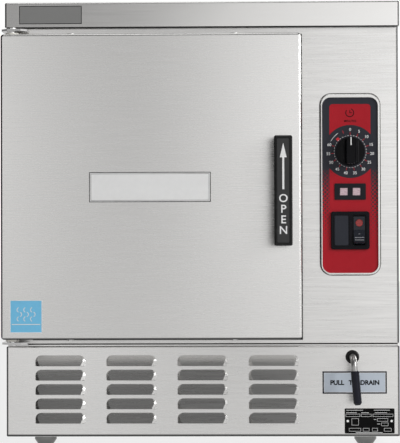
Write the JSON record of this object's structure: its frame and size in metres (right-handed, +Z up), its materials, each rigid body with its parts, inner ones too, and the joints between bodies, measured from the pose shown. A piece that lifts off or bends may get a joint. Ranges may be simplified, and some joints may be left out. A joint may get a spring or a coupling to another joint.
{
  "type": "convection steamer",
  "caption": "Countertop steam cooker: insulated cavity with lift-out pan racks behind a hinged, latched door, steam generator, timer, power switch and drain pull, on screw feet.",
  "frame": {"origin": "centre of the footprint, on the surface the feet stand on", "axes": "+X to the right seen from the front, where the controls are; +Y from the door to the back; +Z up"},
  "size_m": [0.6149, 0.838, 0.689],
  "materials": {
    "sheet_steel": "satin",
    "bright_steel": "polished",
    "zinc_steel": "satin",
    "spring_steel": "satin",
    "black_plastic": "matte",
    "overlay_red": "satin",
    "vinyl_grip": "satin",
    "gasket_rubber": "matte",
    "grommet_rubber": "matte",
    "insulation": "matte",
    "brass": "satin",
    "copper_tube": "satin",
    "hose_rubber": "matte",
    "lens_clear": "gloss",
    "lens_red": "gloss",
    "ceramic_block": "matte",
    "bare_plate": "satin",
    "bearing_plastic": "satin"
  },
  "bodies": {
    "cabinet": {"base_pan": "zinc_steel", "side_panel_left": "sheet_steel", "side_panel_right": "sheet_steel", "back_panel": "sheet_steel", "panel_screws": "bright_steel", "top_cover": "sheet_steel", "front_frame": "sheet_steel", "front_crossmember": "sheet_steel", "base_front_panel": "sheet_steel", "cavity_liner": "bright_steel", "cavity_insulation": "insulation", "cavity_supports": "zinc_steel", "steam_diffuser": "bright_steel", "cavity_strainer": "bright_steel", "cavity_drain_pipe": "bright_steel", "drain_box": "bright_steel", "generator_tank": "bright_steel", "heating_elements": "bright_steel", "steam_tube": "bright_steel", "drain_valve_body": "brass", "drain_hose": "hose_rubber", "drain_grommet": "grommet_rubber", "water_inlet_valves": "brass", "fill_tube": "copper_tube", "contactor": "black_plastic", "terminal_block": "ceramic_block", "cable_gland": "black_plastic", "timer_mechanism": "zinc_steel", "control_bezel": "sheet_steel", "control_overlay": "overlay_red", "lamp_housing": "black_plastic", "lamp_lenses": "lens_clear", "switch_housing": "black_plastic", "hinge_brackets": "bright_steel", "striker_stud": "bright_steel", "rating_plate": "black_plastic"},
    "foot_front_left": {"foot_front_left": "zinc_steel"},
    "foot_front_right": {"foot_front_right": "zinc_steel"},
    "foot_rear_left": {"foot_rear_left": "zinc_steel"},
    "foot_rear_right": {"foot_rear_right": "zinc_steel"},
    "rack_left": {"rack_left": "bright_steel"},
    "rack_right": {"rack_right": "bright_steel"},
    "valve_lever": {"drain_valve_lever": "zinc_steel"},
    "pull": {"drain_pull_rod": "bright_steel", "drain_grip": "vinyl_grip"},
    "timer": {"timer_knob": "black_plastic"},
    "rocker": {"power_rocker": "black_plastic", "rocker_lens": "lens_red"},
    "door": {"door_skin": "sheet_steel", "door_liner": "bright_steel", "door_insulation": "insulation", "door_gasket": "gasket_rubber", "door_bushes": "bearing_plastic", "door_screws": "bright_steel", "latch_spring": "spring_steel", "name_plate": "bare_plate"},
    "handle": {"handle_grip": "black_plastic", "latch_slide": "zinc_steel", "latch_tongue": "spring_steel"}
  },
  "joints": [
    {"name": "door_swing", "type": "hinge", "parent": "cabinet", "child": "door", "pos_m": [-0.291, -0.353, 0.4], "axis": [0, 0, -1], "range_deg": [0, 170], "deforming": ["latch_tongue"]},
    {"name": "handle_lift", "type": "slide", "parent": "door", "child": "handle", "axis": [0, 0, 1], "range_m": [0, 0.014], "stiffness_N_per_m": 400, "springref_m": -0.02, "deforming": ["latch_spring"]},
    {"name": "timer_turn", "type": "hinge", "parent": "cabinet", "child": "timer", "pos_m": [0.2306, -0.335, 0.4564], "axis": [0, 1, 0], "range_deg": [0, 315]},
    {"name": "power_rocker", "type": "hinge", "parent": "cabinet", "child": "rocker", "pos_m": [0.2438, -0.3217, 0.334], "axis": [1, 0, 0], "range_deg": [0, 18]},
    {"name": "drain_pull", "type": "slide", "parent": "cabinet", "child": "pull", "axis": [0, -1, 0], "range_m": [0, 0.0353]},
    {"name": "valve_turn", "type": "hinge", "parent": "cabinet", "child": "valve_lever", "pos_m": [0.238, 0, 0.11746], "axis": [1, 0, 0], "range_deg": [0, 90]},
    {"name": "rack_left_lift", "type": "slide", "parent": "cabinet", "child": "rack_left", "axis": [0, 0, 1], "range_m": [0, 0.009]},
    {"name": "rack_right_lift", "type": "slide", "parent": "cabinet", "child": "rack_right", "axis": [0, 0, 1], "range_m": [0, 0.009]},
    {"name": "foot_front_left_height", "type": "slide", "parent": "cabinet", "child": "foot_front_left", "axis": [0, 0, -1], "range_m": [0, 0.02]},
    {"name": "foot_front_right_height", "type": "slide", "parent": "cabinet", "child": "foot_front_right", "axis": [0, 0, -1], "range_m": [0, 0.02]},
    {"name": "foot_rear_left_height", "type": "slide", "parent": "cabinet", "child": "foot_rear_left", "axis": [0, 0, -1], "range_m": [0, 0.02]},
    {"name": "foot_rear_right_height", "type": "slide", "parent": "cabinet", "child": "foot_rear_right", "axis": [0, 0, -1], "range_m": [0, 0.02]}
  ],
  "couplings": [
    {"joint": "valve_turn", "follows": "drain_pull", "rad_per_m": 44.4}
  ]
}
